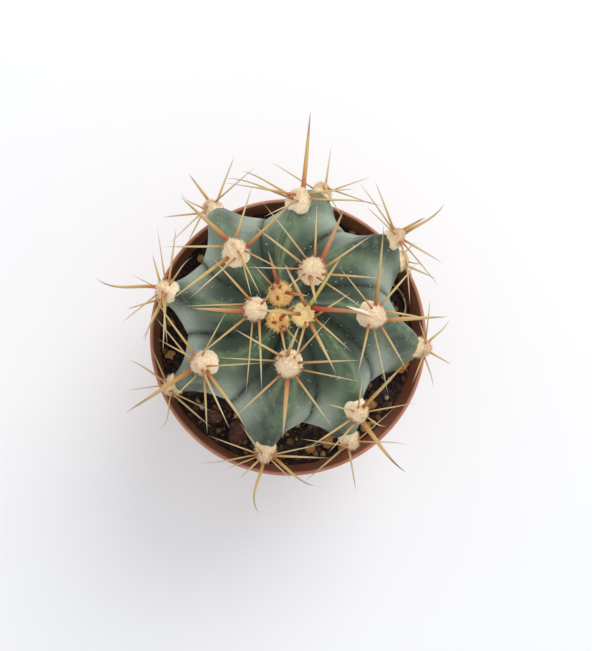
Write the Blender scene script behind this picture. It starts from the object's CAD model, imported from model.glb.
"""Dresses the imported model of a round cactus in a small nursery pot.

The frame gives every place and size. A finer pot, soil, ribbed stem, wool cushions, spines and
loose stones are modelled over it, and stand on a plain pale floor in soft light.
"""

import logging
import math
from collections.abc import Iterator, Sequence
from contextlib import contextmanager
from dataclasses import dataclass
from enum import Enum
from typing import Any

import bmesh
import bpy
import numpy as np
from mathutils import Matrix, Vector, noise
from mathutils.bvhtree import BVHTree
from mathutils.kdtree import KDTree


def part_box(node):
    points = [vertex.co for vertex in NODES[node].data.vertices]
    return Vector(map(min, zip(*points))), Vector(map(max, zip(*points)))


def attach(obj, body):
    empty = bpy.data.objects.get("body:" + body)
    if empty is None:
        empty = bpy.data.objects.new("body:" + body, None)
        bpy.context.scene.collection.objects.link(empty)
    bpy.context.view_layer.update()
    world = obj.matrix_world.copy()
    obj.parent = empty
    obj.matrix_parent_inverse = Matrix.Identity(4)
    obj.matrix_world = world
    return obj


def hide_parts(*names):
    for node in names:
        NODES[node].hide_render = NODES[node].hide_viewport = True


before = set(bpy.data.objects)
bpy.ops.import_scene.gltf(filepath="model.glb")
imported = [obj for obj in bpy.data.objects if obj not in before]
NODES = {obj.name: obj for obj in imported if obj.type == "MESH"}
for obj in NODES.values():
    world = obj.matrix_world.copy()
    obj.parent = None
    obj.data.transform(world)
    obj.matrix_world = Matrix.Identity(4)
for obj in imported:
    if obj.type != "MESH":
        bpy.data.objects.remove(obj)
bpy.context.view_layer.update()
log = logging.getLogger("potted_cactus")

MM = 0.001
SEWN = 0.001 * MM               # points nearer than this are one point
KNOTS = (0.0, 0.42, 0.78, 1.0)  # where along a spine the frame holds its middle line
Colour = tuple[float, float, float, float]
Faces = list[tuple[int, ...]]
Material = bpy.types.Material
Piece = bpy.types.Object


def tint(red: int, green: int, blue: int) -> Colour:
    """Turns a colour chart's 0 to 255 values into the linear colour that a shader takes.

    Args:
        red: red value.
        green: green value.
        blue: blue value.

    Returns:
        The colour, with full alpha.
    """
    def linear(value: int) -> float:
        share = value / 255.0
        return share / 12.92 if share <= 0.04045 else ((share + 0.055) / 1.055) ** 2.4
    return (linear(red), linear(green), linear(blue), 1.0)


# ================================================================ shader nodes
class Wire:
    """A shader socket that takes part in sums: an expression on wires adds its Math nodes."""

    def __init__(self, painter: "Painter", socket: bpy.types.NodeSocket) -> None:
        """Holds one output socket of a material."""
        self.painter = painter
        self.socket = socket

    def joined(self, operation: str, first: Any, second: Any, clamp: bool = False) -> "Wire":
        """Adds one Math node.

        Args:
            operation: the Math node's operation.
            first: a wire or a number.
            second: a wire or a number.
            clamp: whether the result is kept between 0 and 1.

        Returns:
            The wire of the result.
        """
        return self.painter.node("ShaderNodeMath", {"operation": operation, "use_clamp": clamp},
                                 {0: first, 1: second})

    def __add__(self, other: Any) -> "Wire":
        """Adds."""
        return self.joined("ADD", self, other)

    __radd__ = __add__

    def __sub__(self, other: Any) -> "Wire":
        """Subtracts."""
        return self.joined("SUBTRACT", self, other)

    def __rsub__(self, other: Any) -> "Wire":
        """Subtracts from a number."""
        return self.joined("SUBTRACT", other, self)

    def __mul__(self, other: Any) -> "Wire":
        """Multiplies."""
        return self.joined("MULTIPLY", self, other)

    __rmul__ = __mul__

    def clamped(self) -> "Wire":
        """Keeps the value between 0 and 1."""
        return self.joined("ADD", self, 0.0, clamp=True)


class Painter:
    """Lays out the nodes of one material."""

    def __init__(self, name: str) -> None:
        """Starts an empty material.

        Args:
            name: the material's name.
        """
        self.material = bpy.data.materials.new(name)
        self.material.use_nodes = True
        self.tree = self.material.node_tree
        self.tree.nodes.clear()
        self.place = self.node("ShaderNodeTexCoord", output="Object")

    def node(self, kind: str, settings: dict[str, Any] | None = None,
             sockets: dict[Any, Any] | None = None, output: Any = 0) -> Wire:
        """Adds one node.

        Args:
            kind: the node's type.
            settings: the node's own settings; "stops" holds a ramp's positions and colours.
            sockets: a wire or a value for each input, by name or number.
            output: the output that is handed back.

        Returns:
            The wire of that output.
        """
        made = self.tree.nodes.new(kind)
        for name, value in (settings or {}).items():
            if name == "stops":
                self.set_stops(made.color_ramp, value)
            else:
                setattr(made, name, value)
        for name, value in (sockets or {}).items():
            if isinstance(value, Wire):
                self.tree.links.new(value.socket, made.inputs[name])
            else:
                made.inputs[name].default_value = value
        return Wire(self, made.outputs[output])

    @staticmethod
    def set_stops(ramp: bpy.types.ColorRamp, stops: Sequence[tuple[float, Colour]]) -> None:
        """Gives a ramp its stops.

        Args:
            ramp: the ramp node's ramp.
            stops: position and colour of each stop, in order.
        """
        while len(ramp.elements) > 1:
            ramp.elements.remove(ramp.elements[-1])
        for index, (position, colour) in enumerate(stops):
            element = ramp.elements[0] if index == 0 else ramp.elements.new(position)
            element.position = position
            element.color = colour

    def grain(self, size: float, detail: float = 3.0, rough: float = 0.55,
              place: Wire | None = None) -> Wire:
        """Gives a noise whose blotches are about size metres across.

        Args:
            size: size of a blotch.
            detail: how many finer layers lie on it.
            rough: how strong the finer layers are.
            place: other coordinates than the object's own.

        Returns:
            The noise, about 0.5 in the middle.
        """
        return self.node("ShaderNodeTexNoise", None,
                         {"Vector": place or self.place, "Scale": 1.0 / size, "Detail": detail,
                          "Roughness": rough})

    def stretched(self, scale: Sequence[float]) -> Wire:
        """Gives the object's coordinates, stretched along its axes."""
        return self.node("ShaderNodeMapping", None, {"Vector": self.place, "Scale": scale})

    def dots(self, size: float) -> Wire:
        """Gives the distance to the nearest of many scattered points, in cells of that size."""
        return self.node("ShaderNodeTexVoronoi", None,
                         {"Vector": self.place, "Scale": 1.0 / size}, "Distance")

    def attribute(self, name: str) -> Wire:
        """Reads a number that the mesh carries."""
        return self.node("ShaderNodeAttribute", {"attribute_name": name}, None, "Fac")

    def step(self, value: Wire, low: float, high: float) -> Wire:
        """Gives a soft step from 0 at low to 1 at high."""
        return self.node("ShaderNodeMapRange", {"interpolation_type": "SMOOTHSTEP"},
                         {"Value": value, "From Min": low, "From Max": high})

    def ramp(self, value: Wire, *stops: tuple[float, Colour]) -> Wire:
        """Gives a colour that runs through the stops."""
        return self.node("ShaderNodeValToRGB", {"stops": stops}, {"Fac": value})

    def mix(self, share: Any, first: Any, second: Any) -> Wire:
        """Mixes two colours."""
        return self.node("ShaderNodeMix", {"data_type": "RGBA"},
                         {0: share, 6: first, 7: second}, 2)

    def bump(self, height: Wire, depth: float) -> Wire:
        """Turns a height into a normal; depth is in metres."""
        return self.node("ShaderNodeBump", None,
                         {"Height": height, "Distance": depth, "Strength": 1.0})

    def finish(self, colour: Any, roughness: Any, normal: Wire,
               constants: dict[str, Any] | None = None) -> Material:
        """Closes the material with one Principled shader.

        Args:
            colour: the base colour, a wire or a value.
            roughness: a wire or a number.
            normal: the bumped normal.
            constants: other sockets' values, by name.

        Returns:
            The material.
        """
        sockets = {"Base Color": colour, "Roughness": roughness, "Normal": normal}
        shader = self.node("ShaderNodeBsdfPrincipled", None, sockets | (constants or {}))
        sink = self.tree.nodes.new("ShaderNodeOutputMaterial")
        self.tree.links.new(shader.socket, sink.inputs["Surface"])
        return self.material


# ================================================================ finishes
@dataclass(frozen=True)
class MouldedPlastic:
    """Thin injection-moulded plastic in a terracotta brown, a little scuffed."""

    body: Colour = tint(176, 110, 84)
    pale: Colour = tint(194, 134, 108)
    deep: Colour = tint(136, 80, 62)
    dust: Colour = tint(206, 176, 154)

    def paint(self) -> Material:
        """Makes the material."""
        p = Painter("moulded_plastic")
        cloud = p.grain(14.0 * MM, 4.0, 0.6)
        fine = p.grain(0.7 * MM, 2.0)
        lines = p.grain(1.0 * MM, 2.0, 0.5, p.stretched((0.06, 0.06, 1.1)))
        scuff = p.grain(2.6 * MM, 5.0, 0.7)
        colour = p.mix(p.step(cloud, 0.35, 0.7), self.body, self.pale)
        colour = p.mix(p.step(lines, 0.55, 0.8) * 0.35, colour, self.deep)
        colour = p.mix(p.step(scuff, 0.62, 0.76) * 0.4, colour, self.dust)
        rough = 0.42 + cloud * 0.12 + p.step(scuff, 0.6, 0.75) * 0.2
        height = fine * 0.5 + lines * 0.5
        return p.finish(colour, rough, p.bump(height, 0.06 * MM), {"Specular IOR Level": 0.45})


@dataclass(frozen=True)
class PeatMix:
    """Dark, damp peat with a few paler crumbs."""

    dark: Colour = tint(34, 25, 25)
    brown: Colour = tint(84, 60, 50)
    tan: Colour = tint(152, 114, 76)

    def paint(self) -> Material:
        """Makes the material."""
        p = Painter("peat_mix")
        cloud = p.grain(2.4 * MM, 5.0, 0.65)
        fleck = p.dots(1.6 * MM)
        colour = p.mix(p.step(cloud, 0.42, 0.68), self.dark, self.brown)
        colour = p.mix(p.step(fleck, 0.2, 0.08) * p.step(cloud, 0.5, 0.62), colour, self.tan)
        return p.finish(colour, 0.75 + cloud * 0.2, p.bump(cloud, 0.8 * MM))


@dataclass(frozen=True)
class Crumbs:
    """Loose crumbs of peat, bark and grit; each crumb carries its own tone."""

    def paint(self) -> Material:
        """Makes the material."""
        p = Painter("crumbs")
        tone = p.attribute("tone")
        cloud = p.grain(0.8 * MM, 4.0, 0.65)
        colour = p.ramp(tone, (0.0, tint(32, 24, 24)), (0.36, tint(66, 46, 41)),
                        (0.58, tint(106, 70, 52)), (0.76, tint(148, 106, 70)),
                        (0.91, tint(186, 150, 100)), (1.0, tint(222, 204, 172)))
        colour = p.mix(p.step(cloud, 0.4, 0.75) * 0.5, colour, tint(34, 24, 24))
        return p.finish(colour, 0.8 + cloud * 0.15, p.bump(cloud, 0.25 * MM))


@dataclass(frozen=True)
class Stone:
    """Porous pumice grit, rusty to straw yellow."""

    rust: Colour = tint(196, 124, 52)
    straw: Colour = tint(176, 148, 92)
    pit: Colour = tint(84, 58, 36)

    def paint(self) -> Material:
        """Makes the material."""
        p = Painter("pumice_stone")
        tone = p.attribute("tone")
        cloud = p.grain(1.8 * MM, 5.0, 0.65)
        pores = p.dots(0.55 * MM)
        colour = p.mix((tone + cloud - 0.5).clamped(), self.straw, self.rust)
        colour = p.mix(p.step(cloud, 0.58, 0.74) * 0.6, colour, tint(214, 190, 150))
        colour = p.mix(p.step(pores, 0.28, 0.1) * 0.8, colour, self.pit)
        height = cloud + p.step(pores, 0.1, 0.32)
        return p.finish(colour, 0.85 + cloud * 0.1, p.bump(height, 0.3 * MM))


@dataclass(frozen=True)
class BarkChip:
    """A chip of fir bark: reddish brown, split in layers."""

    red: Colour = tint(104, 62, 48)
    dark: Colour = tint(50, 30, 27)
    grey: Colour = tint(134, 106, 90)

    def paint(self) -> Material:
        """Makes the material."""
        p = Painter("bark_chip")
        layers = p.grain(1.2 * MM, 4.0, 0.6, p.stretched((0.35, 1.0, 3.0)))
        cloud = p.grain(1.6 * MM, 5.0, 0.7)
        colour = p.ramp(layers, (0.3, self.dark), (0.55, self.red), (0.8, self.grey))
        colour = p.mix(p.step(cloud, 0.5, 0.7) * 0.5, colour, self.dark)
        return p.finish(colour, 0.8 + cloud * 0.15, p.bump(layers + cloud, 0.35 * MM))


@dataclass(frozen=True)
class DryRoot:
    """A dry, pale root fibre."""

    pale: Colour = tint(206, 176, 138)
    dark: Colour = tint(128, 92, 62)

    def paint(self) -> Material:
        """Makes the material."""
        p = Painter("dry_root")
        cloud = p.grain(1.1 * MM, 4.0, 0.65)
        colour = p.mix(p.step(cloud, 0.4, 0.7), self.pale, self.dark)
        return p.finish(colour, 0.8 + cloud * 0.1, p.bump(cloud, 0.12 * MM))


@dataclass(frozen=True)
class CactusSkin:
    """Waxy green skin: greener on the crests, with a pale bloom that thickens on the flanks.

    The mesh carries valley (0 on a crest, 1 in a valley), crease (0 to 1, 1 on the crease line)
    and shoulder (0 at the crown, 1 at the widest).
    """

    leaf: Colour = tint(90, 114, 84)
    deep: Colour = tint(38, 54, 39)
    moss: Colour = tint(146, 160, 110)
    bloom: Colour = tint(154, 166, 150)
    crack: Colour = tint(24, 28, 26)
    speck: Colour = tint(226, 230, 220)

    def paint(self) -> Material:
        """Makes the material."""
        p = Painter("cactus_skin")
        valley, crease = p.attribute("valley"), p.attribute("crease")
        shoulder = p.attribute("shoulder")
        cloud, mottle = p.grain(16.0 * MM, 4.0, 0.6), p.grain(3.2 * MM, 5.0, 0.65)
        fine = p.grain(0.35 * MM, 2.0)
        colour = p.mix(p.step(cloud, 0.38, 0.66), self.leaf, self.deep)
        colour = p.mix(p.step(mottle, 0.52, 0.72) * 0.4, colour, self.moss)
        wax = p.step(valley + (cloud - 0.5) * 0.5, 0.2, 0.7) * p.step(shoulder, 0.5, 0.92)
        wax = (wax * (0.62 + mottle * 0.5) + p.step(mottle, 0.45, 0.8) * 0.14).clamped()
        colour = p.mix(wax, colour, self.bloom)
        inner = 1.0 - p.step(shoulder, 0.5, 0.9)
        band = p.step(valley, 0.06, 0.25) * (1.0 - p.step(valley, 0.35, 0.55)) * inner
        colour = p.mix(band * p.step(cloud, 0.35, 0.6) * 0.55, colour, self.moss)
        colour = p.mix(p.step(valley, 0.4, 0.8) * inner * 0.85, colour, self.deep)
        colour = p.mix(p.step(crease, 0.05, 0.95) * (0.2 + cloud * 0.9), colour, self.deep)
        seam = p.step(crease, 0.74, 0.92) * p.step(p.grain(1.1 * MM, 4.0, 0.7), 0.42, 0.52)
        colour = p.mix(seam * 0.95, colour, self.crack)
        specks = p.step(p.dots(1.7 * MM), 0.13, 0.06) * p.step(p.grain(6.0 * MM), 0.42, 0.56)
        colour = p.mix(specks * 0.9, colour, self.speck)
        rough = 0.46 + wax * 0.22 + mottle * 0.1
        height = mottle * 0.6 + fine * 0.25 + (1.0 - seam) * 0.5
        return p.finish(colour, rough, p.bump(height, 0.16 * MM),
                        {"Specular IOR Level": 0.42, "Sheen Weight": 0.16,
                         "Sheen Roughness": 0.35, "Sheen Tint": (0.97, 0.97, 0.9, 1.0)})


@dataclass(frozen=True)
class Felt:
    """The felt of an areole; each tuft carries a tone, and stain marks its coloured places.

    The glow stands for the light that wanders through fine wool.
    """

    name: str
    light: Colour
    dark: Colour
    stain: Colour
    glow: float = 0.11

    def paint(self) -> Material:
        """Makes the material."""
        p = Painter(self.name)
        cloud = p.grain(0.9 * MM, 3.0, 0.6)
        curds = p.grain(0.34 * MM, 3.0, 0.7)
        tone = p.attribute("tone")
        colour = p.mix((tone * 0.6 + cloud * 0.4 + p.step(curds, 0.4, 0.6) * 0.4 - 0.2).clamped(),
                       self.dark, self.light)
        colour = p.mix(p.attribute("stain"), colour, self.stain)
        return p.finish(colour, 0.95, p.bump(cloud * 0.4 + curds, 0.14 * MM),
                        {"Specular IOR Level": 0.1, "Sheen Weight": 0.5, "Sheen Roughness": 0.5,
                         "Sheen Tint": (1.0, 0.96, 0.86, 1.0), "Emission Color": colour,
                         "Emission Strength": self.glow})


@dataclass(frozen=True)
class SpineHorn:
    """Horny spines.

    The mesh carries along (0 at the root, 1 at the tip) and five shares: blush, amber, wear,
    pale and lime.
    """

    rings: float = 110.0             # sets how many fine rings a spine has

    def paint(self) -> Material:
        """Makes the material."""
        p = Painter("spine_horn")
        along, blush = p.attribute("along"), p.attribute("blush")
        amber, wear = p.attribute("amber"), p.attribute("wear")
        streak = p.grain(0.8 * MM, 3.0, 0.6)
        at = (along + (streak - 0.5) * 0.16).clamped()
        straw = p.ramp(at, (0.0, tint(174, 112, 62)), (0.1, tint(194, 154, 88)),
                       (0.3, tint(206, 182, 124)), (0.65, tint(212, 194, 152)),
                       (1.0, tint(198, 180, 148)))
        gold = p.ramp(at, (0.0, tint(162, 88, 44)), (0.12, tint(186, 130, 62)),
                      (0.3, tint(196, 162, 88)), (0.6, tint(196, 172, 112)),
                      (0.84, tint(164, 138, 104)), (1.0, tint(112, 88, 70)))
        red = p.ramp(at, (0.0, tint(158, 60, 40)), (0.18, tint(180, 84, 54)),
                     (0.4, tint(186, 118, 76)), (0.65, tint(184, 138, 94)),
                     (0.88, tint(186, 154, 118)), (1.0, tint(172, 146, 114)))
        colour = p.mix(blush, p.mix(amber, straw, gold), red)
        colour = p.mix(wear * p.step(at, 0.45, 1.0), colour, tint(96, 70, 54))
        colour = p.mix(p.attribute("pale"), colour, tint(250, 240, 222))
        colour = p.mix(p.attribute("lime") * (1.0 - at), colour, tint(186, 190, 84))
        rings = p.node("ShaderNodeMath", {"operation": "SINE"}, {0: along * self.rings})
        rough = 0.38 + streak * 0.2 + p.attribute("pale") * 0.4
        return p.finish(colour, rough, p.bump(rings * 0.4 + streak, 0.05 * MM),
                        {"Specular IOR Level": 0.45})


@dataclass(frozen=True)
class PaleFloor:
    """A matt, nearly white board."""

    white: Colour = tint(247, 248, 249)
    cool: Colour = tint(241, 244, 248)

    def paint(self) -> Material:
        """Makes the material."""
        p = Painter("pale_floor")
        cloud = p.grain(260.0 * MM, 2.0)
        colour = p.mix(cloud, self.white, self.cool)
        return p.finish(colour, 0.85, p.bump(p.grain(1.5 * MM), 0.02 * MM),
                        {"Specular IOR Level": 0.2})


# ================================================================ modelling moves
class Bench:
    """The modelling moves that the pieces share."""

    @staticmethod
    def clear() -> None:
        """Leaves edit mode and deselects everything."""
        if bpy.context.mode != "OBJECT":
            bpy.ops.object.mode_set(mode="OBJECT")
        bpy.ops.object.select_all(action="DESELECT")

    @staticmethod
    def take(piece: Piece) -> Piece:
        """Makes a piece the only selected one.

        Args:
            piece: the piece.

        Returns:
            The same piece.
        """
        Bench.clear()
        bpy.context.view_layer.objects.active = piece
        piece.select_set(True)
        return piece

    @staticmethod
    @contextmanager
    def editing(piece: Piece, action: str = "SELECT", mode: str = "VERT") -> Iterator[None]:
        """Opens a piece in edit mode, with all or nothing of it selected.

        Args:
            piece: the piece.
            action: SELECT or DESELECT.
            mode: VERT, EDGE or FACE.
        """
        Bench.take(piece)
        bpy.ops.object.mode_set(mode="EDIT")
        bpy.ops.mesh.select_mode(type=mode)
        bpy.ops.mesh.select_all(action=action)
        yield
        bpy.ops.object.mode_set(mode="OBJECT")

    @staticmethod
    def taken_apart(piece: Piece) -> tuple[np.ndarray, Faces]:
        """Gives the points and faces of a shape that is copied many times, and removes it.

        Args:
            piece: the shape; it is gone afterwards.

        Returns:
            Its points as rows, and its faces.
        """
        rows = Bench.points(piece)
        faces = [tuple(face.vertices) for face in piece.data.polygons]
        bpy.data.objects.remove(piece)
        return rows, faces

    @staticmethod
    def numbered_on(faces: Faces, start: int) -> Faces:
        """Gives a copied shape's faces, when its first point is number start."""
        return [tuple(start + corner for corner in face) for face in faces]

    @staticmethod
    def linked(name: str, data: bpy.types.ID) -> Piece:
        """Puts new data into the scene as an object.

        Args:
            name: the object's name.
            data: its mesh, light or camera.

        Returns:
            The object.
        """
        made = bpy.data.objects.new(name, data)
        bpy.context.scene.collection.objects.link(made)
        return made

    @staticmethod
    def started(name: str) -> Piece:
        """Names the primitive that was just added.

        Args:
            name: the name for it and its mesh.

        Returns:
            The piece.
        """
        piece = bpy.context.active_object
        piece.name = name
        piece.data.name = name
        return piece

    @staticmethod
    def placed(piece: Piece) -> None:
        """Puts a piece's place, turn and size into its mesh."""
        Bench.take(piece)
        bpy.ops.object.transform_apply(location=True, rotation=True, scale=True)

    @staticmethod
    def apply(piece: Piece, kind: str, **settings: Any) -> None:
        """Adds a modifier and applies it.

        Args:
            piece: the piece.
            kind: the modifier's type.
            **settings: its settings, by name.
        """
        Bench.take(piece)
        modifier = piece.modifiers.new(kind.lower(), kind)
        for name, value in settings.items():
            setattr(modifier, name, value)
        bpy.ops.object.modifier_apply(modifier=modifier.name)

    @staticmethod
    def smoothed(piece: Piece, angle: float = 40.0) -> None:
        """Shades a piece smooth, with sharp edges over an angle in degrees."""
        Bench.take(piece)
        bpy.ops.object.shade_smooth_by_angle(angle=math.radians(angle))

    @staticmethod
    def outward(piece: Piece) -> None:
        """Merges doubled points and turns a closed piece's faces out.

        Args:
            piece: the piece.
        """
        with Bench.editing(piece):
            bpy.ops.mesh.remove_doubles(threshold=SEWN)
            bpy.ops.mesh.normals_make_consistent(inside=False)

    @staticmethod
    def drawn_up(name: str, profile: Sequence[tuple[float, float]],
                 segments: int) -> Piece:
        """Draws a disc out ring by ring into a closed round body.

        Args:
            name: the piece's name.
            profile: radius and height of each ring, from the middle of the underside outwards.
            segments: how many sides the round body has.

        Returns:
            The piece; its last ring's face is still one face.
        """
        Bench.clear()
        radius, height = profile[0]
        bpy.ops.mesh.primitive_circle_add(vertices=segments, radius=radius, fill_type="NGON",
                                          location=(0, 0, height))
        piece = Bench.started(name)
        Bench.placed(piece)
        with Bench.editing(piece):
            for wider, higher in profile[1:]:
                bpy.ops.mesh.extrude_region_move(
                    TRANSFORM_OT_translate={"value": (0.0, 0.0, higher - height)})
                share = wider / radius
                bpy.ops.transform.resize(value=(share, share, 1.0),
                                         center_override=(0, 0, higher))
                radius, height = wider, higher
            bpy.ops.mesh.select_all(action="SELECT")
            bpy.ops.mesh.normals_make_consistent(inside=False)
        return piece

    @staticmethod
    def copy_of(node: str, name: str) -> Piece:
        """Copies a CAD node's mesh as a new piece, with its triangles sewn together.

        Args:
            node: the node's name.
            name: the new piece's name.

        Returns:
            The piece.
        """
        piece = Bench.linked(name, NODES[node].data.copy())
        piece.data.name = name
        piece.data.materials.clear()
        Bench.outward(piece)
        return piece

    @staticmethod
    def of_arrays(name: str, points: np.ndarray, faces: Faces,
                  numbers: dict[str, Sequence[float]]) -> Piece:
        """Makes a piece of many small shapes, with the numbers that its finish reads.

        Args:
            name: the piece's name.
            points: its points as rows.
            faces: each face's point numbers.
            numbers: a number for each point, by label.

        Returns:
            The piece.
        """
        mesh = bpy.data.meshes.new(name)
        mesh.from_pydata(points.tolist(), [], faces)
        piece = Bench.linked(name, mesh)
        for label, values in numbers.items():
            Bench.number(piece, label, values)
        mesh.shade_smooth()
        return piece

    @staticmethod
    def number(piece: Piece, label: str, values: Sequence[float]) -> None:
        """Stores one number for each point of a piece."""
        attribute = piece.data.attributes.new(label, "FLOAT", "POINT")
        attribute.data.foreach_set("value", np.asarray(values, np.float32))

    @staticmethod
    def rows_of(items: bpy.types.bpy_prop_collection, field: str) -> np.ndarray:
        """Gives one vector of each item as rows.

        Args:
            items: the mesh's points or normals.
            field: the vector's name.

        Returns:
            One row for each item.
        """
        rows = np.empty(len(items) * 3, np.float32)
        items.foreach_get(field, rows)
        return rows.reshape(-1, 3).astype(float)

    @staticmethod
    def points(piece: Piece) -> np.ndarray:
        """Gives a piece's points as rows."""
        return Bench.rows_of(piece.data.vertices, "co")

    @staticmethod
    def normals(piece: Piece) -> np.ndarray:
        """Gives the outward direction at each point of a piece."""
        return Bench.rows_of(piece.data.vertex_normals, "vector")

    @staticmethod
    def set_points(piece: Piece, rows: np.ndarray) -> None:
        """Moves a piece's points."""
        piece.data.vertices.foreach_set("co", rows.astype(np.float32).ravel())
        piece.data.update()

    @staticmethod
    def roughened(piece: Piece, layers: Sequence[tuple[float, float]],
                  seed: float = 0.0) -> None:
        """Moves a piece's points in and out by noise.

        Args:
            piece: the piece.
            layers: size of the lumps and how far they stand out, both in metres.
            seed: moves the noise, so that two pieces differ.
        """
        rows, outward = Bench.points(piece), Bench.normals(piece)
        lift = np.zeros(len(rows))
        for size, height in layers:
            lift += height * np.array([
                noise.noise(Vector(row / size) + Vector((seed, 0.0, 0.0))) for row in rows])
        Bench.set_points(piece, rows + outward * lift[:, None])

    @staticmethod
    def skin_of(piece: Piece, hull: bool = False) -> BVHTree:
        """Gives the search tree of a piece's surface, or of its convex hull.

        Args:
            piece: the piece.
            hull: whether the convex hull is meant.

        Returns:
            The search tree.
        """
        bm = bmesh.new()
        bm.from_mesh(piece.data)
        if hull:
            made = bmesh.ops.convex_hull(bm, input=bm.verts)
            inner = [part for part in made["geom_interior"]
                     if isinstance(part, bmesh.types.BMVert)]
            bmesh.ops.delete(bm, geom=inner, context="VERTS")
        tree = BVHTree.FromBMesh(bm)
        bm.free()
        return tree

    @staticmethod
    def handed(piece: Piece, material: Material, slot: str,
               *nodes: str) -> Piece:
        """Dresses a piece and hangs it on the frame.

        Args:
            piece: the finished piece.
            material: its finish.
            slot: the record's slot that the finish belongs to.
            nodes: the CAD nodes that the piece stands for.

        Returns:
            The piece.
        """
        Bench.clear()
        piece.data.materials.clear()
        piece.data.materials.append(material)
        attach(piece, "root")
        if nodes:
            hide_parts(*nodes)
        log.info("%s: %d points, %d faces", piece.name, len(piece.data.vertices),
                 len(piece.data.polygons))
        return piece


def arc(centre: tuple[float, float], radius: float, start: float, end: float,
        steps: int) -> list[tuple[float, float]]:
    """Gives points of an arc in the (radius, height) plane, with its angles in degrees."""
    turns = [math.radians(start + (end - start) * step / steps) for step in range(steps + 1)]
    return [(centre[0] + radius * math.cos(t), centre[1] + radius * math.sin(t)) for t in turns]


# ================================================================ pot
@dataclass
class Pot:
    """The thin pot: tapered wall, wider collar, rolled lip, drainage holes."""

    wall: float = 1.2 * MM
    floor: float = 1.5 * MM
    foot_round: float = 1.0 * MM
    collar: float = 10.0 * MM
    step: float = 1.0 * MM
    flare: float = 0.8 * MM
    lip: float = 0.6 * MM
    base_radius: float = 30.0 * MM
    holes: int = 6
    hole_radius: float = 3.5 * MM
    hole_circle: float = 20.0 * MM
    rings: int = 14
    segments: int = 144

    def __post_init__(self) -> None:
        """Reads the overall size from the frame."""
        low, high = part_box("pot")
        self.height = high.z
        self.radius = (high.x - low.x) / 2.0
        self.collar_foot = self.height - self.collar

    def outer(self, height: float) -> float:
        """Gives the wall's outer radius below the collar."""
        top = self.radius - self.flare - self.step
        return self.base_radius + (top - self.base_radius) * height / self.collar_foot

    def inner(self, height: float) -> float:
        """Gives the radius of the space inside.

        Args:
            height: height over the floor that the pot stands on.

        Returns:
            The radius.
        """
        if height <= self.collar_foot:
            return self.outer(height) - self.wall
        share = (height - self.collar_foot) / self.collar
        return self.radius - self.flare * (1.0 - share) - self.wall

    def profile(self) -> list[tuple[float, float]]:
        """Gives the rings from the middle of the foot, over the lip, to the floor inside."""
        shoulder = self.collar_foot - self.step
        rings = [(self.base_radius - self.foot_round, 0.0)]
        rings += arc((self.base_radius - self.foot_round, self.foot_round),
                     self.foot_round, -60, 0, 3)
        rings += [(self.outer(shoulder * k / self.rings), shoulder * k / self.rings)
                  for k in range(1, self.rings)]
        rings += [(self.outer(shoulder), shoulder),
                  (self.outer(shoulder) + 0.15 * MM, shoulder + 0.1 * MM),
                  (self.radius - self.flare - 0.15 * MM, self.collar_foot - 0.1 * MM),
                  (self.radius - self.flare, self.collar_foot + 0.15 * MM),
                  (self.radius - self.flare * 0.5, self.collar_foot + self.collar * 0.5),
                  (self.radius - 0.12 * MM, self.height - 2.2 * MM)]
        rings += arc((self.radius - self.lip, self.height - self.lip), self.lip, 0, 180, 12)
        rings += [(self.inner(self.height - 1.4 * MM), self.height - 1.4 * MM),
                  (self.inner(self.collar_foot), self.collar_foot),
                  (self.inner(shoulder), shoulder)]
        rings += [(self.inner(shoulder * k / 5), shoulder * k / 5) for k in (4, 3, 2, 1)]
        rings += [(self.inner(self.floor), self.floor)]
        return rings

    def build(self) -> Piece:
        """Makes the pot."""
        piece = Bench.drawn_up("pot_shell", self.profile(), self.segments)
        Bench.clear()
        bpy.ops.mesh.primitive_cylinder_add(vertices=32, radius=self.hole_radius,
                                            depth=6.0 * self.floor)
        drill = Bench.started("drill")
        for index in range(self.holes):
            turn = math.tau * index / self.holes
            drill.location = (self.hole_circle * math.cos(turn),
                              self.hole_circle * math.sin(turn), 0.0)
            Bench.apply(piece, "BOOLEAN", object=drill, operation="DIFFERENCE")
        bpy.data.objects.remove(drill)
        Bench.smoothed(piece, 35.0)
        return Bench.handed(piece, MouldedPlastic().paint(), "pot_plastic", "pot")


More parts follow.
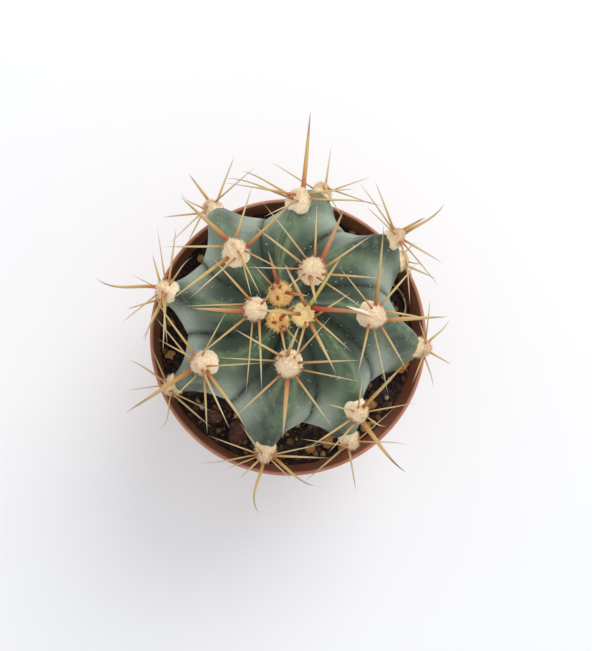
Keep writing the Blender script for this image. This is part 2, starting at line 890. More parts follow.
# ================================================================ potting mix
@dataclass
class PottingMix:
    """The soil: a body that fills the pot, and loose crumbs all over its top."""

    pot: Pot
    gap: float = 0.3 * MM
    segments: int = 120
    insets: int = 22
    inset: float = 1.15 * MM
    crumbs: int = 1700
    seed: int = 11
    waves: tuple[tuple[float, float], ...] = ((9.0 * MM, 0.9 * MM), (3.0 * MM, 0.6 * MM),
                                              (1.3 * MM, 0.35 * MM))     # width and height
    settled: float = 0.2 * MM        # how far the top has sunk
    smallest: float = 0.7 * MM       # the smallest crumb
    growth: float = 2.3 * MM         # how much more the largest has
    rarity: float = 2.6              # the higher, the fewer the large ones
    coarse: float = 1.2 * MM         # crumbs over this size may be pale
    neck_room: float = 0.6           # air round the neck and at the wall, in crumbs
    wall_room: float = 0.62
    flattest: float = 0.55           # a crumb's least side, and how much longer one may be
    longer: float = 0.6

    def __post_init__(self) -> None:
        """Reads the soil's levels from the frame."""
        low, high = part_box("soil")
        self.bottom = low.z
        self.level = high.z - 0.9 * MM
        rows = Bench.points(NODES["cactus_stem"])
        neck = rows[rows[:, 2] < self.level, :2]
        first, last = neck.min(axis=0), neck.max(axis=0)
        self.neck = Vector((*(first + last) / 2.0, 0.0))
        self.neck_radius = (last[0] - first[0]) / 2.0

    def build(self) -> None:
        """Makes the soil's body and its crumbs."""
        body = self.body()
        Bench.handed(body, PeatMix().paint(), "potting_mix", "soil")
        crumbs = self.scattered(Bench.skin_of(body))
        Bench.handed(crumbs, Crumbs().paint(), "potting_mix")

    def body(self) -> Piece:
        """Makes the body: drawn up along the wall, then inset ring by ring over the top."""
        brim = self.pot.inner(self.level) - self.gap
        heights = [self.bottom, 20.0 * MM, 40.0 * MM, self.pot.collar_foot - self.pot.step]
        rings = [(self.pot.inner(height) - self.gap, height) for height in heights]
        rings += [(brim, self.level - 1.2 * MM), (brim - 0.3 * MM, self.level - 0.5 * MM)]
        piece = Bench.drawn_up("soil_body", rings, self.segments)
        with Bench.editing(piece, "DESELECT", "FACE"):
            bm = bmesh.from_edit_mesh(piece.data)
            for face in bm.faces:
                high = face.calc_center_median().z > self.pot.collar_foot
                face.select_set(high and face.normal.z > 0.9)
            bmesh.update_edit_mesh(piece.data)
            for _ in range(self.insets):
                bpy.ops.mesh.inset(thickness=self.inset, depth=0.0)
        rows = Bench.points(piece)
        for row in rows:
            if row[2] > self.level - 0.7 * MM:
                row[2] = self.level + self.unevenness(row[0], row[1])
        Bench.set_points(piece, rows)
        Bench.smoothed(piece, 60.0)
        return piece

    def unevenness(self, x: float, y: float) -> float:
        """Gives the rise of the soil's top at a place.

        Args:
            x: the place.
            y: the place.

        Returns:
            The rise over the mean level.
        """
        spot = Vector((x, y, 0.0))
        rise = sum(height * noise.noise(spot / width) for width, height in self.waves)
        return rise - self.settled

    @staticmethod
    def crumb() -> tuple[np.ndarray, Faces]:
        """Models one crumb, and gives its points and faces."""
        Bench.clear()
        bpy.ops.mesh.primitive_uv_sphere_add(segments=7, ring_count=5, radius=0.5)
        piece = Bench.started("crumb")
        with Bench.editing(piece):
            bpy.ops.transform.vertex_random(offset=0.13, seed=3)
        return Bench.taken_apart(piece)

    def scattered(self, ground: BVHTree) -> Piece:
        """Strews crumbs over the soil between the stem's neck and the wall.

        Args:
            ground: the search tree of the soil's body.

        Returns:
            All crumbs as one piece.
        """
        rows, faces = self.crumb()
        draw = np.random.default_rng(self.seed)
        points, links, tones = [], [], []
        brim = self.pot.inner(self.level) - self.gap
        while len(points) < self.crumbs:
            size = self.smallest + self.growth * draw.random() ** self.rarity
            angle, out = draw.uniform(0.0, math.tau), brim * math.sqrt(draw.random())
            turn, tilt, stretch = draw.uniform(0, math.tau), draw.normal(0, 0.5), draw.random(3)
            sink, tone = draw.uniform(-0.1, 0.34), draw.random()
            spot = Vector((out * math.cos(angle), out * math.sin(angle), 0.0))
            near = (spot - self.neck).length < self.neck_radius + self.neck_room * size
            if near or out > brim - self.wall_room * size:
                continue
            hit = ground.ray_cast(spot + Vector((0, 0, self.pot.height)), Vector((0, 0, -1)))[0]
            shape = Matrix.Rotation(turn, 3, "Z") @ Matrix.Rotation(tilt, 3, "X")
            scale = size * (self.flattest + self.longer * stretch)
            placed = (rows * scale) @ np.array(shape).T + np.array(hit) + (0, 0, sink * size)
            links += Bench.numbered_on(faces, len(points) * len(rows))
            points.append(placed)
            tones.append(tone ** 1.3 if size > self.coarse else tone * 0.8)
        tones = np.repeat(tones, len(rows))
        return Bench.of_arrays("soil_crumbs", np.vstack(points), links, {"tone": tones})


# ================================================================ loose pieces
@dataclass
class LoosePieces:
    """Stones, bark chips and the root fibre that lie on the soil."""

    def build(self) -> None:
        """Makes each of them over its CAD node."""
        stone, chip, root = Stone().paint(), BarkChip().paint(), DryRoot().paint()
        for index, name in enumerate(sorted(n for n in NODES if n.startswith("pumice"))):
            piece = self.refined(name, f"stone_{name[-2:]}", index * 7.3,
                                 [(2.2 * MM, 0.5 * MM), (0.8 * MM, 0.22 * MM)])
            tone = (0.95, 0.35, 0.6, 0.2, 0.5)[index % 5]
            Bench.number(piece, "tone", np.full(len(piece.data.vertices), tone))
            Bench.handed(piece, stone, "pumice", name)
        for index, name in enumerate(sorted(n for n in NODES if n.startswith("bark"))):
            piece = self.refined(name, f"chip_{name[-2:]}", 40 + index * 9.1,
                                 [(3.0 * MM, 0.5 * MM), (1.0 * MM, 0.3 * MM)])
            Bench.handed(piece, chip, "bark", name)
        fibre = self.refined("root_fibre", "dry_root_fibre", 3.0, [(1.5 * MM, 0.12 * MM)])
        Bench.handed(fibre, root, "fibre", "root_fibre")

    @staticmethod
    def refined(node: str, name: str, seed: float,
                layers: Sequence[tuple[float, float]]) -> Piece:
        """Gives a finer, rougher copy of a CAD node.

        Args:
            node: the node's name.
            name: the new piece's name.
            seed: moves the noise.
            layers: width and height of each layer of lumps.

        Returns:
            The piece.
        """
        piece = Bench.copy_of(node, name)
        Bench.apply(piece, "SUBSURF", levels=2, render_levels=2)
        Bench.roughened(piece, layers, seed)
        Bench.smoothed(piece, 55.0)
        return piece


# ================================================================ stem
@dataclass
class Stem:
    """The ribbed body: the CAD skin made finer, with soft swellings and fine wrinkles."""

    level: float = 78.0 * MM        # creases are looked for above this height
    full_depth: float = 8.4 * MM    # a full valley's depth
    crease_angle: float = 35.0      # a fold at least this sharp is a crease, in degrees
    crease_reach: float = 2.4 * MM
    crease_width: float = 0.5 * MM
    crease_spacing: float = 0.3 * MM
    pinch: float = 1.3 * MM         # how far the flanks are drawn in between crest and valley
    pinch_power: float = 0.6        # under 1, the pinch lies nearer the crest
    crown_share: float = 0.12       # valleys get shallower to the crown, down to this share
    crown_power: float = 0.7
    lumps: tuple[tuple[float, float], ...] = ((14.0 * MM, 0.45 * MM), (4.0 * MM, 0.16 * MM),
                                              (1.4 * MM, 0.05 * MM))     # width and height

    def build(self) -> Piece:
        """Makes the stem."""
        piece = Bench.copy_of("cactus_stem", "stem_skin")
        hull = Bench.skin_of(piece, hull=True)
        low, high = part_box("cactus_stem")
        self.middle = Vector(((low.x + high.x) / 2.0, (low.y + high.y) / 2.0, high.z))
        self.radius = (high.x - low.x + high.y - low.y) / 4.0
        with Bench.editing(piece):
            bpy.ops.mesh.tris_convert_to_quads(face_threshold=math.radians(50),
                                               shape_threshold=math.radians(70))
        lines = self.creases(piece)
        Bench.apply(piece, "SUBSURF", levels=2, render_levels=2)
        self.number(piece, hull, lines)
        self.drawn_in(piece)
        Bench.roughened(piece, self.lumps)
        Bench.smoothed(piece, 80.0)
        self.skin = Bench.skin_of(piece)
        return Bench.handed(piece, CactusSkin().paint(), "cactus_flesh", "cactus_stem")

    def creases(self, piece: Piece) -> KDTree:
        """Cuts the crease lines in: the sharp inward folds become narrow grooves.

        Args:
            piece: the skin, before it is made finer.

        Returns:
            The search tree of closely spaced points along the folds.
        """
        spots = []
        with Bench.editing(piece, "DESELECT", "EDGE"):
            bm = bmesh.from_edit_mesh(piece.data)
            bm.normal_update()
            for edge in bm.edges:
                first, second = edge.verts[0].co, edge.verts[1].co
                folded = edge.calc_face_angle_signed(0.0) < -math.radians(self.crease_angle)
                if folded and max(first.z, second.z) > self.level:
                    edge.select_set(True)
                    count = max(2, int((second - first).length / self.crease_spacing))
                    spots += [first.lerp(second, k / count) for k in range(count + 1)]
            bmesh.update_edit_mesh(piece.data)
            bpy.ops.mesh.bevel(offset=self.crease_width, segments=2, profile=0.5,
                               clamp_overlap=True)
        log.info("crease points: %d", len(spots))
        tree = KDTree(len(spots))
        for index, spot in enumerate(spots):
            tree.insert(spot, index)
        tree.balance()
        return tree

    def drawn_in(self, piece: Piece) -> None:
        """Draws the flanks in, so that each rib rises to a narrower crest.

        Args:
            piece: the skin, already numbered.
        """
        depths = np.empty(len(piece.data.vertices), np.float32)
        piece.data.attributes["valley"].data.foreach_get("value", depths)
        share = np.clip(depths, 0.0, 1.0) ** self.pinch_power
        inset = self.pinch * 4.0 * share * (1.0 - share)      # the full pinch at a half
        Bench.set_points(piece, Bench.points(piece) - Bench.normals(piece) * inset[:, None])

    def number(self, piece: Piece, hull: BVHTree, lines: KDTree) -> None:
        """Stores how deep in a valley, how near a crease and how far out each point lies.

        Args:
            piece: the skin.
            hull: the search tree of its convex hull.
            lines: the points along the creases.
        """
        rows = Bench.points(piece)
        valley, crease, shoulder = [], [], []
        for row in rows:
            spot = Vector(row)
            out = (Vector((spot.x, spot.y, 0)) - Vector((self.middle.x, self.middle.y, 0))).length
            depth = hull.find_nearest(spot)[3]
            share = min(1.0, max(out / self.radius, self.crown_share)) ** self.crown_power
            valley.append(min(1.0, depth / (self.full_depth * share)))
            crease.append(max(0.0, 1.0 - lines.find(spot)[2] / self.crease_reach))
            fall = (self.middle.z - spot.z) / self.radius
            shoulder.append(min(1.0, math.hypot(out / self.radius, fall)))
        for label, values in (("valley", valley), ("crease", crease), ("shoulder", shoulder)):
            Bench.number(piece, label, values)


# ================================================================ areoles
@dataclass
class Spine:
    """One spine, as the frame holds it: its middle line from root to tip, and its root radius."""

    line: list[Vector]
    girth: float

    def course(self, share: float) -> Vector:
        """Gives the point a share of the way along its smooth middle line.

        Args:
            share: share of the way from root to tip.

        Returns:
            The point.
        """
        spot = Vector((0.0, 0.0, 0.0))
        for point, knot in zip(self.line, KNOTS):
            spot += point * math.prod((share - other) / (knot - other)
                                      for other in KNOTS if other != knot)
        return spot

    @property
    def length(self) -> float:
        """The distance from root to tip."""
        return (self.line[-1] - self.line[0]).length

    @property
    def azimuth(self) -> float:
        """The heading from root to tip seen from above, in degrees from 0 to 360."""
        heading = self.line[-1] - self.line[0]
        return math.degrees(math.atan2(heading.y, heading.x)) % 360.0


class Wool(Enum):
    """The kinds of wool, from the youngest to the oldest areoles."""

    GOLDEN = Felt("golden_wool", tint(255, 230, 160), tint(244, 190, 108), tint(150, 78, 44))
    SULPHUR = Felt("sulphur_wool", tint(255, 246, 206), tint(255, 226, 144), tint(255, 184, 24))
    CREAM = Felt("cream_wool", tint(255, 245, 222), tint(250, 226, 186), tint(210, 150, 92))
    WORN = Felt("worn_wool", tint(254, 236, 204), tint(226, 192, 146), tint(160, 110, 68))

    @staticmethod
    def of(number: int) -> "Wool":
        """Gives the wool of an areole.

        Args:
            number: the areole, 0 for the youngest.

        Returns:
            The wool.
        """
        if number < 2:
            return Wool.GOLDEN
        if number == 2:
            return Wool.SULPHUR
        return Wool.CREAM if number < 12 else Wool.WORN


class Areole:
    """One areole, read back from its CAD node: the cushion's place and its spines."""

    search: float = 6.0 * MM         # how far over and under itself it looks for the skin
    drop: float = 0.45               # how far its edge follows the skin down, in radii
    curl: float = 0.2                # how far its edge follows the skin up
    spokes: int = 48                 # directions in which the skin under its edge is read
    tip_sides: int = 4               # triangles that meet at a spine's tip
    tip_spread: float = 0.75 * MM    # and how far apart their other points may be
    tip_slimness: float = 2.0
    girth_share: float = 1.1         # a root ring's mean corner distance, in the spine's radii
    heading: Vector = Vector((0.3, 0.8, 0.5))        # the cushion's own axes start from it
    skirt: float = 0.6 * MM          # how far the cushion reaches down under its edge

    def __init__(self, number: int, skin: BVHTree) -> None:
        """Reads the node.

        Args:
            number: 0 is the youngest areole, on the crown.
            skin: the stem's surface.
        """
        self.number = number
        self.node = f"areole_{number + 1:02d}"
        self.skin = skin
        self.spines: list[Spine] = []
        bm = bmesh.new()
        bm.from_mesh(NODES[self.node].data)
        bmesh.ops.remove_doubles(bm, verts=bm.verts, dist=SEWN)
        shaft = set()
        for tip in bm.verts:
            if self.is_tip(tip):
                shaft |= self.read_spine(tip)
        pad = [point.co.copy() for point in bm.verts if point not in shaft]
        bm.free()
        self.measure(pad)

    @staticmethod
    def is_tip(point: bmesh.types.BMVert) -> bool:
        """Tells whether a point is a spine's tip: four long thin triangles meet there.

        Args:
            point: a point of the node.

        Returns:
            Whether it is one.
        """
        if len(point.link_faces) != Areole.tip_sides:
            return False
        around = [edge.other_vert(point).co for edge in point.link_edges]
        middle = sum(around, Vector()) / len(around)
        spread = max((spot - middle).length for spot in around)
        slim = (point.co - middle).length > Areole.tip_slimness * spread
        return slim and spread < Areole.tip_spread

    def read_spine(self, tip: bmesh.types.BMVert) -> set[bmesh.types.BMVert]:
        """Walks from a tip to the root ring by ring, and keeps the spine's middle line.

        Args:
            tip: the spine's tip.

        Returns:
            All points of the spine.
        """
        line, seen, ring, girth = [tip.co.copy()], {tip}, {tip}, 0.0
        for _ in KNOTS[:-1]:
            ring = {edge.other_vert(point) for point in ring for edge in point.link_edges} - seen
            middle = sum((point.co for point in ring), Vector()) / len(ring)
            girth = sum((point.co - middle).length for point in ring)
            girth /= len(ring) * self.girth_share
            line.append(middle)
            seen |= ring
        self.spines.append(Spine(line[::-1], girth))
        return seen

    def measure(self, pad: list[Vector]) -> None:
        """Works out the cushion's middle, outward direction, radius and height.

        Args:
            pad: the points of the node that belong to no spine.
        """
        middle = sum(pad, Vector()) / len(pad)
        spread = np.array([spot - middle for spot in pad])
        flat = Vector(np.linalg.svd(spread, full_matrices=False)[2][2])
        nearest, skin_outward, _, _ = self.skin.find_nearest(middle)
        self.outward = flat if flat.dot(skin_outward) > 0.0 else -flat
        start = middle + self.outward * self.search
        self.foot = self.skin.ray_cast(start, -self.outward)[0] or nearest
        aside = self.outward.cross(self.heading).normalized()
        self.across, self.down = aside, self.outward.cross(aside)
        lifts = [(spot - self.foot).dot(self.outward) for spot in pad]
        self.radius = max((spot - self.foot - self.outward * lift).length
                          for spot, lift in zip(pad, lifts))
        self.rise = max(lifts)
        turns = [math.tau * spoke / self.spokes for spoke in range(self.spokes)]
        heights = np.array([self.skin_height(self.level(math.cos(turn), math.sin(turn)))
                            for turn in turns])
        self.edges = (np.roll(heights, 1) + heights * 2.0 + np.roll(heights, -1)) / 4.0

    def level(self, x: float, y: float) -> Vector:
        """Gives the point of the cushion's flat middle plane at x and y, in radii."""
        return self.foot + (self.across * x + self.down * y) * self.radius

    def skin_height(self, spot: Vector) -> float:
        """Gives how far the skin lies over a spot of the cushion's flat middle plane.

        Args:
            spot: a place on that plane.

        Returns:
            The height, kept between the drop and the curl.
        """
        hit = self.skin.ray_cast(spot + self.outward * self.search, -self.outward,
                                 2.0 * self.search)[0]
        height = (hit - spot).dot(self.outward) if hit else -self.search
        return max(-self.drop * self.radius, min(height, self.curl * self.radius))

    def laid(self, x: float, y: float, z: float) -> Vector:
        """Lays a point of the unit ball on the skin, as a point of the cushion.

        Args:
            x: across, in radii.
            y: down, in radii.
            z: outward, in rises.

        Returns:
            The point.
        """
        spoke = (math.atan2(y, x) / math.tau * self.spokes) % self.spokes
        before, share = int(spoke) % self.spokes, spoke % 1.0
        edge = self.edges[before] * (1.0 - share) + self.edges[(before + 1) % self.spokes] * share
        lift = self.rise * z ** 0.8 if z > 0.0 else self.skirt * z
        return self.level(x, y) + self.outward * (edge * (x * x + y * y) + lift)

    def near_root(self, spot: Vector, reach: float) -> float:
        """Gives how near a point is to a spine's root: 1 at a root, 0 from reach on."""
        nearest = min((spot - spine.line[0]).length for spine in self.spines)
        return max(0.0, 1.0 - nearest / reach)


@dataclass
class Needles:
    """The spines of every areole: one needle modelled once, then bent along each spine."""

    sides: int = 10
    rings: int = 18
    root_depth: float = 1.2 * MM     # how far a needle reaches into the wool
    bud_count: int = 3
    bud_out: float = 0.45            # how far out on the cushion the buds stand, in radii
    bud_length: float = 1.6 * MM
    bud_longest: float = 3.0 * MM
    bud_girth: float = 0.36 * MM
    heavy: float = 0.58 * MM         # the girth from which a spine is a heavy one
    thick: float = 0.42 * MM
    swelling: tuple[float, float] = (0.16, 0.05)     # height and reach of the root's swelling
    taper: tuple[float, float] = (0.22, 0.78)        # girth lost evenly, and mostly near the tip
    taper_power: float = 2.6
    bluntness: float = 0.045
    lime_heading: float = 58.0       # degrees; one young spine is still green
    pale_heading: float = 165.0      # degrees; one spine is bleached
    same_heading: float = 9.0

    def __post_init__(self) -> None:
        """Models the straight needle, a capped rod of unit length cut into rings."""
        Bench.clear()
        bpy.ops.mesh.primitive_cylinder_add(vertices=self.sides, radius=1.0, depth=1.0,
                                            location=(0, 0, 0.5))
        piece = Bench.started("needle")
        Bench.placed(piece)
        with Bench.editing(piece, "DESELECT", "EDGE"):
            bm = bmesh.from_edit_mesh(piece.data)
            for edge in bm.edges:
                edge.select_set(abs(edge.verts[0].co.z - edge.verts[1].co.z) > 0.5)
            bmesh.update_edit_mesh(piece.data)
            bpy.ops.mesh.subdivide(number_cuts=self.rings)
        self.rows, self.faces = Bench.taken_apart(piece)

    def shaft(self, share: float) -> float:
        """Gives the shaft's radius at a share of its length, as a share of the root's.

        Args:
            share: share of the way from root to tip.

        Returns:
            The share.
        """
        height, reach = self.swelling
        evenly, late = self.taper
        swollen = height * math.exp(-((share / reach) ** 2))
        lost = evenly * share + late * max(share, 0.0) ** self.taper_power
        return max(1.0 + swollen - lost, self.bluntness)

    def bent(self, spine: Spine) -> tuple[np.ndarray, np.ndarray]:
        """Bends the needle along a spine.

        Args:
            spine: the spine.

        Returns:
            The needle's points, and each point's share of the length.
        """
        first = -self.root_depth / spine.length
        heading = (spine.course(0.02) - spine.course(0.0)).normalized()
        side = heading.cross(Vector((0.0, 0.0, 1.0)))
        side = side.normalized() if side.length > 0.05 else Vector((1.0, 0.0, 0.0))
        points, shares = [], []
        for x, y, z in self.rows:
            share = first + (1.0 - first) * z
            held = max(share, 0.0)
            along = (spine.course(min(held + 0.01, 1.0)) - spine.course(held - 0.01)).normalized()
            middle = spine.course(held) + along * (share - held) * spine.length
            flat = (side - along * side.dot(along)).normalized()
            radius = spine.girth * self.shaft(share)
            offset = flat * x * radius * 1.05 + along.cross(flat) * y * radius * 0.85
            points.append(middle + offset)
            shares.append(held)
        return np.array(points), np.array(shares)

    def tones(self, number: int, spine: Spine, draw: np.random.Generator) -> dict[str, float]:
        """Gives a spine's shares of colour, by its areole's age and its own girth and heading.

        Args:
            number: the areole, 0 for the youngest.
            spine: the spine.
            draw: the areole's own random numbers.

        Returns:
            The shares blush, amber, wear, pale and lime.
        """
        heavy, thick = spine.girth > self.heavy, spine.girth > self.thick
        lime = abs(spine.azimuth - self.lime_heading) < self.same_heading
        pale = abs(spine.azimuth - self.pale_heading) < self.same_heading
        vary = draw.uniform(-0.1, 0.1)
        shares = {"blush": 0.0, "amber": 0.0, "wear": 0.0, "pale": 0.0, "lime": 0.0}
        if number < 2:
            bud = spine.length < self.bud_longest
            shares.update(blush=0.9 if thick else (0.55 if bud else 0.0), amber=0.9)
        elif number == 2:
            shares.update(blush=1.0 if heavy else 0.06, amber=0.6,
                          lime=0.8 if lime else 0.0)
        elif number < 6:
            blush = (1.25 - 0.15 * number if number < 5 else 0.35) if heavy else 0.08
            shares.update(blush=max(0.0, blush + vary), amber=0.4 + vary)
        else:
            shares.update(blush=max(0.0, (0.22 if heavy else 0.06) + vary),
                          amber=(0.85 if thick else 0.3) + vary,
                          wear=draw.random() ** 2 * (0.3 if number < 8 else 0.8))
        if number == 7 and pale:
            shares.update(blush=0.0, pale=0.9)
        return shares

    def buds(self, areole: Areole, draw: np.random.Generator) -> list[Spine]:
        """Gives the short red buds that push through the wool of an areole on the crown.

        Args:
            areole: the areole.
            draw: the areole's own random numbers.

        Returns:
            The buds.
        """
        made = []
        for turn in range(self.bud_count):
            angle = math.tau * (turn + 0.6 * draw.random()) / self.bud_count
            out = self.bud_out * draw.uniform(0.5, 1.4)
            x, y = out * math.cos(angle), out * math.sin(angle)
            root = areole.laid(x, y, math.sqrt(1.0 - x * x - y * y))
            lean = (areole.across * x + areole.down * y) * 0.9 + areole.outward
            reach = self.bud_length * draw.uniform(0.7, 1.2)
            line = [root + lean.normalized() * reach * share for share in KNOTS]
            made.append(Spine(line, self.bud_girth * draw.uniform(0.7, 1.2)))
        return made

    def build(self, areole: Areole, material: Material) -> Piece:
        """Makes one areole's spines.

        Args:
            areole: the areole.
            material: its finish.

        Returns:
            All its spines as one piece.
        """
        draw = np.random.default_rng(500 + areole.number)
        points, faces = [], []
        numbers: dict[str, list[np.ndarray]] = {"along": []}
        spines = areole.spines + (self.buds(areole, draw) if areole.number < 2 else [])
        for index, spine in enumerate(spines):
            rows, shares = self.bent(spine)
            tones = self.tones(areole.number, spine, draw)
            points.append(rows)
            faces += Bench.numbered_on(self.faces, index * len(rows))
            numbers["along"].append(shares)
            for label, value in tones.items():
                numbers.setdefault(label, []).append(np.full(len(rows), value))
        joined = {label: np.concatenate(values) for label, values in numbers.items()}
        piece = Bench.of_arrays(f"spines_{areole.number + 1:02d}", np.vstack(points), faces, joined)
        return Bench.handed(piece, material, "wool_and_spines", areole.node)


@dataclass
class Cushions:
    """The wool of every areole: a felted pad, and fine fibres that stand out of it."""

    fibres: int = 1500
    fibre_rings: int = 3
    fibre_radius: float = 0.055 * MM
    fibre_taper: float = 0.55
    fibre_depth: float = 0.3 * MM    # how far a fibre starts inside the felt
    swirl: float = 0.42              # how far fibres lean out of line, and how much they bend
    curl: float = 0.75
    young_length: float = 1.5        # the fibres of the crown's areoles over the others'
    lumpiness: float = 0.12          # the ball's unevenness, in radii
    lump_height: float = 0.3 * MM
    full_radius: float = 4.1 * MM    # a cushion of this radius has all the fibres
    stain_reach: float = 2.4 * MM    # how far round a spine's root the wool is coloured
    young_reach: float = 1.7 * MM
    spotted: tuple[int, ...] = (6, 8, 10)            # areoles with a brown middle
    length: float = 0.7 * MM
    tightness: float = 0.87          # the visible ball over the cushion's own radius
    free_radius: float = 3.6 * MM    # a cushion wider than this isn't hemmed in
    hemmed_tightness: float = 0.97

    def __post_init__(self) -> None:
        """Models the pad's ball once."""
        Bench.clear()
        bpy.ops.mesh.primitive_uv_sphere_add(segments=44, ring_count=24, radius=1.0)
        self.rows, self.faces = Bench.taken_apart(Bench.started("ball"))
        self.strand = self.strand_faces()
        self.corners = [math.tau * corner / 3.0 for corner in range(3)]

    def strand_faces(self) -> Faces:
        """Gives the faces of one three-sided fibre, from its sides and point to its root."""
        sides, last = ((0, 1), (1, 2), (2, 0)), 3 * (self.fibre_rings - 1)
        faces = [(ring + a, ring + b, ring + b + 3, ring + a + 3)
                 for ring in range(0, last, 3) for a, b in sides]
        return faces + [(last + a, last + b, last + 3) for a, b in sides] + [(2, 1, 0)]

    @staticmethod
    def curd(x: float, y: float, z: float, seed: float) -> float:
        """Gives the lumpiness of the felt at a point of the unit ball."""
        spot = Vector((x * 3.1 + seed, y * 3.1, z * 3.1))
        return noise.noise(spot) * 0.4 + noise.noise(spot * 2.6) * 0.4 + noise.noise(spot * 6) * 0.3

    def share_of(self, areole: Areole) -> float:
        """Gives how much of the cushion's radius the visible ball takes."""
        return self.tightness if areole.radius > self.free_radius else self.hemmed_tightness

    def pad(self, areole: Areole) -> tuple[np.ndarray, list[float]]:
        """Gives the pad's points and tones.

        Args:
            areole: the areole.

        Returns:
            The pad's points as rows, and a tone for each.
        """
        points, tones = [], []
        for x, y, z in self.rows:
            lump = self.curd(x, y, z, areole.number * 5.7)
            swell = self.share_of(areole) + self.lumpiness * lump
            spot = areole.laid(x * swell, y * swell, z)
            points.append(spot + areole.outward * lump * self.lump_height * max(z, 0.0))
            tones.append(0.5 + 0.9 * lump)
        return np.array(points), tones

    def stain_at(self, areole: Areole, spot: Vector, draw: np.random.Generator) -> float:
        """Gives how coloured the wool is at a point of the cushion.

        Args:
            areole: the areole.
            spot: a place on the cushion.
            draw: the areole's own random numbers.

        Returns:
            The share of stain, 0 to 1.
        """
        reach = self.young_reach if areole.number == 2 else self.stain_reach
        root = areole.near_root(spot, reach)
        if areole.number < 2:
            return max(0.5 * root, 0.85 if draw.random() < 0.1 else 0.0)
        if areole.number == 2:
            return min(1.0, 0.1 + 2.2 * root)
        middle = 0.0
        if areole.number in self.spotted:
            top = areole.foot + areole.outward * areole.rise
            middle = max(0.0, 1.0 - (spot - top).length / (1.0 * MM))
        return min(1.0, 0.8 * middle + 0.45 * root + (0.3 if draw.random() < 0.05 else 0.0))

    def fibre(self, areole: Areole, draw: np.random.Generator
              ) -> tuple[list[Vector], float, float]:
        """Gives one fibre's middle line, tone and stain.

        Args:
            areole: the areole.
            draw: the areole's own random numbers.

        Returns:
            The middle line, the tone and the stain.
        """
        turn, out = draw.uniform(0.0, math.tau), math.sqrt(draw.uniform(0.0, 1.0))
        x, y = out * math.cos(turn), out * math.sin(turn)
        z = math.sqrt(max(0.0, 1.0 - out * out))
        share = self.share_of(areole)
        root = areole.laid(x * share, y * share, z)
        radial = areole.across * x + areole.down * y
        heading = radial * (0.35 + out) + areole.outward * (0.25 + z)
        swirl = Vector(draw.normal(0.0, self.swirl, 3))
        heading = (heading + swirl).normalized()
        curl = Vector(draw.normal(0.0, self.curl, 3))
        young = self.young_length if areole.number < 2 else 1.0
        length = self.length * young * (0.45 + 0.75 * draw.random())
        line = [root - heading * self.fibre_depth]
        for ring in range(1, self.fibre_rings + 1):
            along = ring / self.fibre_rings
            line.append(root + heading * length * along + curl * length * 0.45 * along * along)
        return line, draw.uniform(0.05, 1.0), self.stain_at(areole, root, draw)

    def build(self, areole: Areole, material: Material) -> Piece:
        """Makes one areole's wool.

        Args:
            areole: the areole.
            material: its finish.

        Returns:
            The pad and its fibres as one piece.
        """
        draw = np.random.default_rng(900 + areole.number)
        points, tones = self.pad(areole)
        stains = [self.stain_at(areole, Vector(spot), draw) * 0.6 for spot in points]
        faces = list(self.faces)
        points = list(points)
        count = int(self.fibres * (areole.radius / self.full_radius) ** 2)
        for _ in range(count):
            line, tone, stain = self.fibre(areole, draw)
            along = (line[-1] - line[0]).normalized()
            side = along.orthogonal().normalized()
            other = along.cross(side)
            faces += Bench.numbered_on(self.strand, len(points))
            for ring, spot in enumerate(line[:-1]):
                radius = self.fibre_radius * (1.0 - self.fibre_taper * ring / self.fibre_rings)
                points += [spot + (side * math.cos(turn) + other * math.sin(turn)) * radius
                           for turn in self.corners]
            points.append(line[-1])
            tones += [tone] * (len(points) - len(tones))
            stains += [stain] * (len(points) - len(stains))
        piece = Bench.of_arrays(f"wool_{areole.number + 1:02d}", np.array(points), faces,
                                {"tone": tones, "stain": stains})
        return Bench.handed(piece, material, "wool_and_spines", areole.node)


@dataclass
class Armour:
    """Every areole's wool and spines."""

    stem: Stem

    def build(self) -> None:
        """Makes them all."""
        felts = {kind: kind.value.paint() for kind in Wool}
        horn = SpineHorn().paint()
        needles, cushions = Needles(), Cushions()
        count = sum(1 for name in NODES if name.startswith("areole_"))
        for number in range(count):
            areole = Areole(number, self.stem.skin)
            log.info("%s: %d spines, wool %.1f mm across, %.1f mm high", areole.node,
                     len(areole.spines), 2.0 * areole.radius / MM, areole.rise / MM)
            cushions.build(areole, felts[Wool.of(number)])
            needles.build(areole, horn)


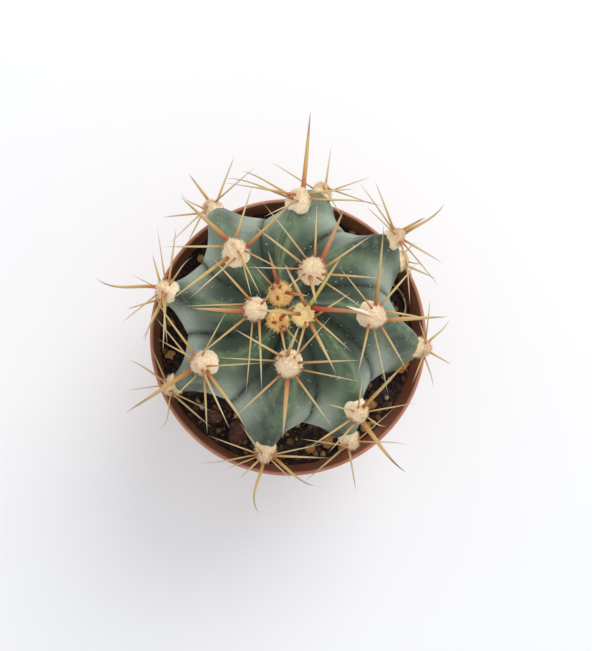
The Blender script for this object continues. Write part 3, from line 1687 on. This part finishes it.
# ================================================================ stage
@dataclass
class Studio:
    """Floor, soft light and camera."""

    eye: Vector = Vector((-24.0, -13.0, 455.0)) * MM
    aim: Vector = Vector((2.11, 3.43, 75.0)) * MM
    lens: float = 68.74
    floor_side: float = 4.0
    key_azimuth: float = 62.0
    key_elevation: float = 48.0
    key_distance: float = 1.1
    key_size: float = 0.75
    key_power: float = 5.4
    key_colour: tuple[float, float, float] = (1.0, 0.985, 0.96)
    sky: float = 0.83
    sky_colour: Colour = (0.985, 0.99, 1.0, 1.0)

    def floor(self) -> None:
        """Lays the pale floor."""
        Bench.clear()
        bpy.ops.mesh.primitive_plane_add(size=self.floor_side, location=(0, 0, 0))
        board = Bench.started("floor")
        board.data.materials.append(PaleFloor().paint())

    def light(self) -> None:
        """Hangs the soft key light, which points at the plant, and sets the even sky."""
        light = bpy.data.lights.new("key", "AREA")
        light.shape = "DISK"
        light.size = self.key_size
        light.energy = self.key_power
        light.color = self.key_colour
        lamp = Bench.linked("key", light)
        turn, rise = math.radians(self.key_azimuth), math.radians(self.key_elevation)
        back = Vector((math.cos(turn) * math.cos(rise), math.sin(turn) * math.cos(rise),
                       math.sin(rise)))
        lamp.location = self.aim + back * self.key_distance
        lamp.rotation_mode = "QUATERNION"
        lamp.rotation_quaternion = (-back).to_track_quat("-Z", "Y")
        world = bpy.data.worlds.new("even_sky")
        world.use_nodes = True
        ground = world.node_tree.nodes["Background"]
        ground.inputs["Color"].default_value = self.sky_colour
        ground.inputs["Strength"].default_value = self.sky
        bpy.context.scene.world = world
        bpy.context.scene.view_settings.view_transform = "Standard"

    def camera(self) -> None:
        """Places the camera nearly straight above the plant."""
        forward = (self.aim - self.eye).normalized()
        right = forward.cross(Vector((0.0, 1.0, 0.0))).normalized()
        up = right.cross(forward)
        lens = bpy.data.cameras.new("camera")
        lens.lens = self.lens
        lens.clip_start = 10.0 * MM
        camera = Bench.linked("camera", lens)
        camera.matrix_world = Matrix((
            (right.x, up.x, -forward.x, self.eye.x),
            (right.y, up.y, -forward.y, self.eye.y),
            (right.z, up.z, -forward.z, self.eye.z),
            (0.0, 0.0, 0.0, 1.0)))
        bpy.context.scene.camera = camera

    def build(self) -> None:
        """Sets the whole stage."""
        self.floor()
        self.light()
        self.camera()


def main() -> None:
    """Builds the whole scene."""
    logging.basicConfig(level=logging.INFO, format="%(name)s: %(message)s")
    Studio().build()
    pot = Pot()
    pot.build()
    PottingMix(pot).build()
    LoosePieces().build()
    stem = Stem()
    stem.build()
    Armour(stem).build()


if __name__ == "__main__":
    main()
